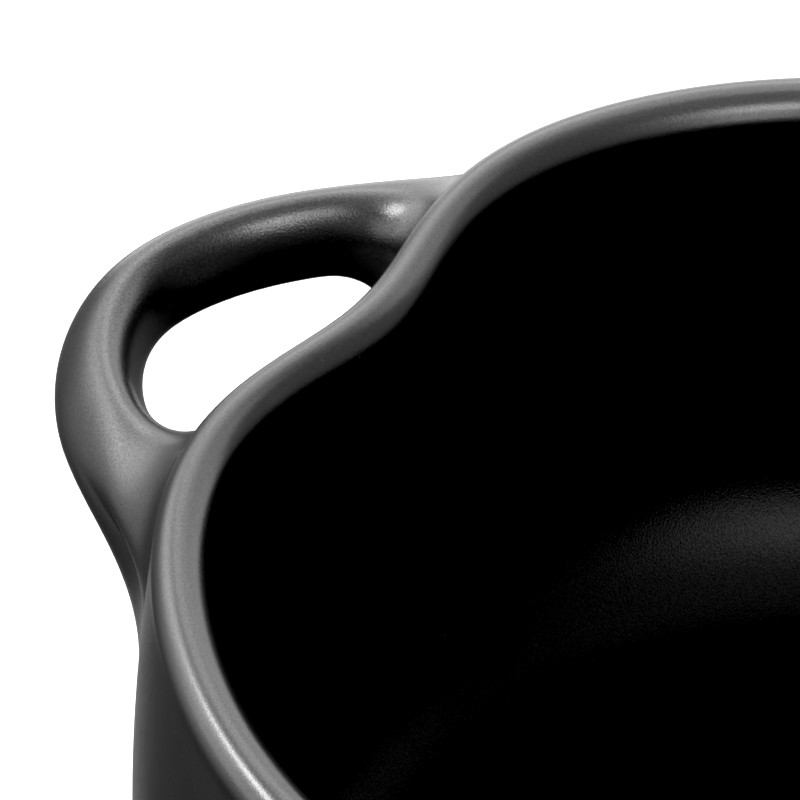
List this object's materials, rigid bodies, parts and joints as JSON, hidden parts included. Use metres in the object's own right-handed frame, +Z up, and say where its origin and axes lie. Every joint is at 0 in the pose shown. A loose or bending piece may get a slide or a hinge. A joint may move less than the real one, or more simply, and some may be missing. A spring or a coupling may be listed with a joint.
{
  "type": "sugar bowl",
  "caption": "Open sugar bowl in satin black ceramic, with a rolled rim pinched in above a finger loop on each side, a rounded belly and a low foot ring.",
  "frame": {"origin": "middle of the foot ring's resting face, on the bowl's axis", "axes": "+Z up along the bowl's axis, +X through the right handle, -X through the left handle"},
  "size_m": [0.138, 0.106, 0.057],
  "materials": {
    "bowl_glaze": "satin",
    "handle_glaze": "satin"
  },
  "bodies": {
    "root": {"bowl_body": "bowl_glaze", "handle_left": "handle_glaze", "handle_right": "handle_glaze"}
  },
  "joints": []
}
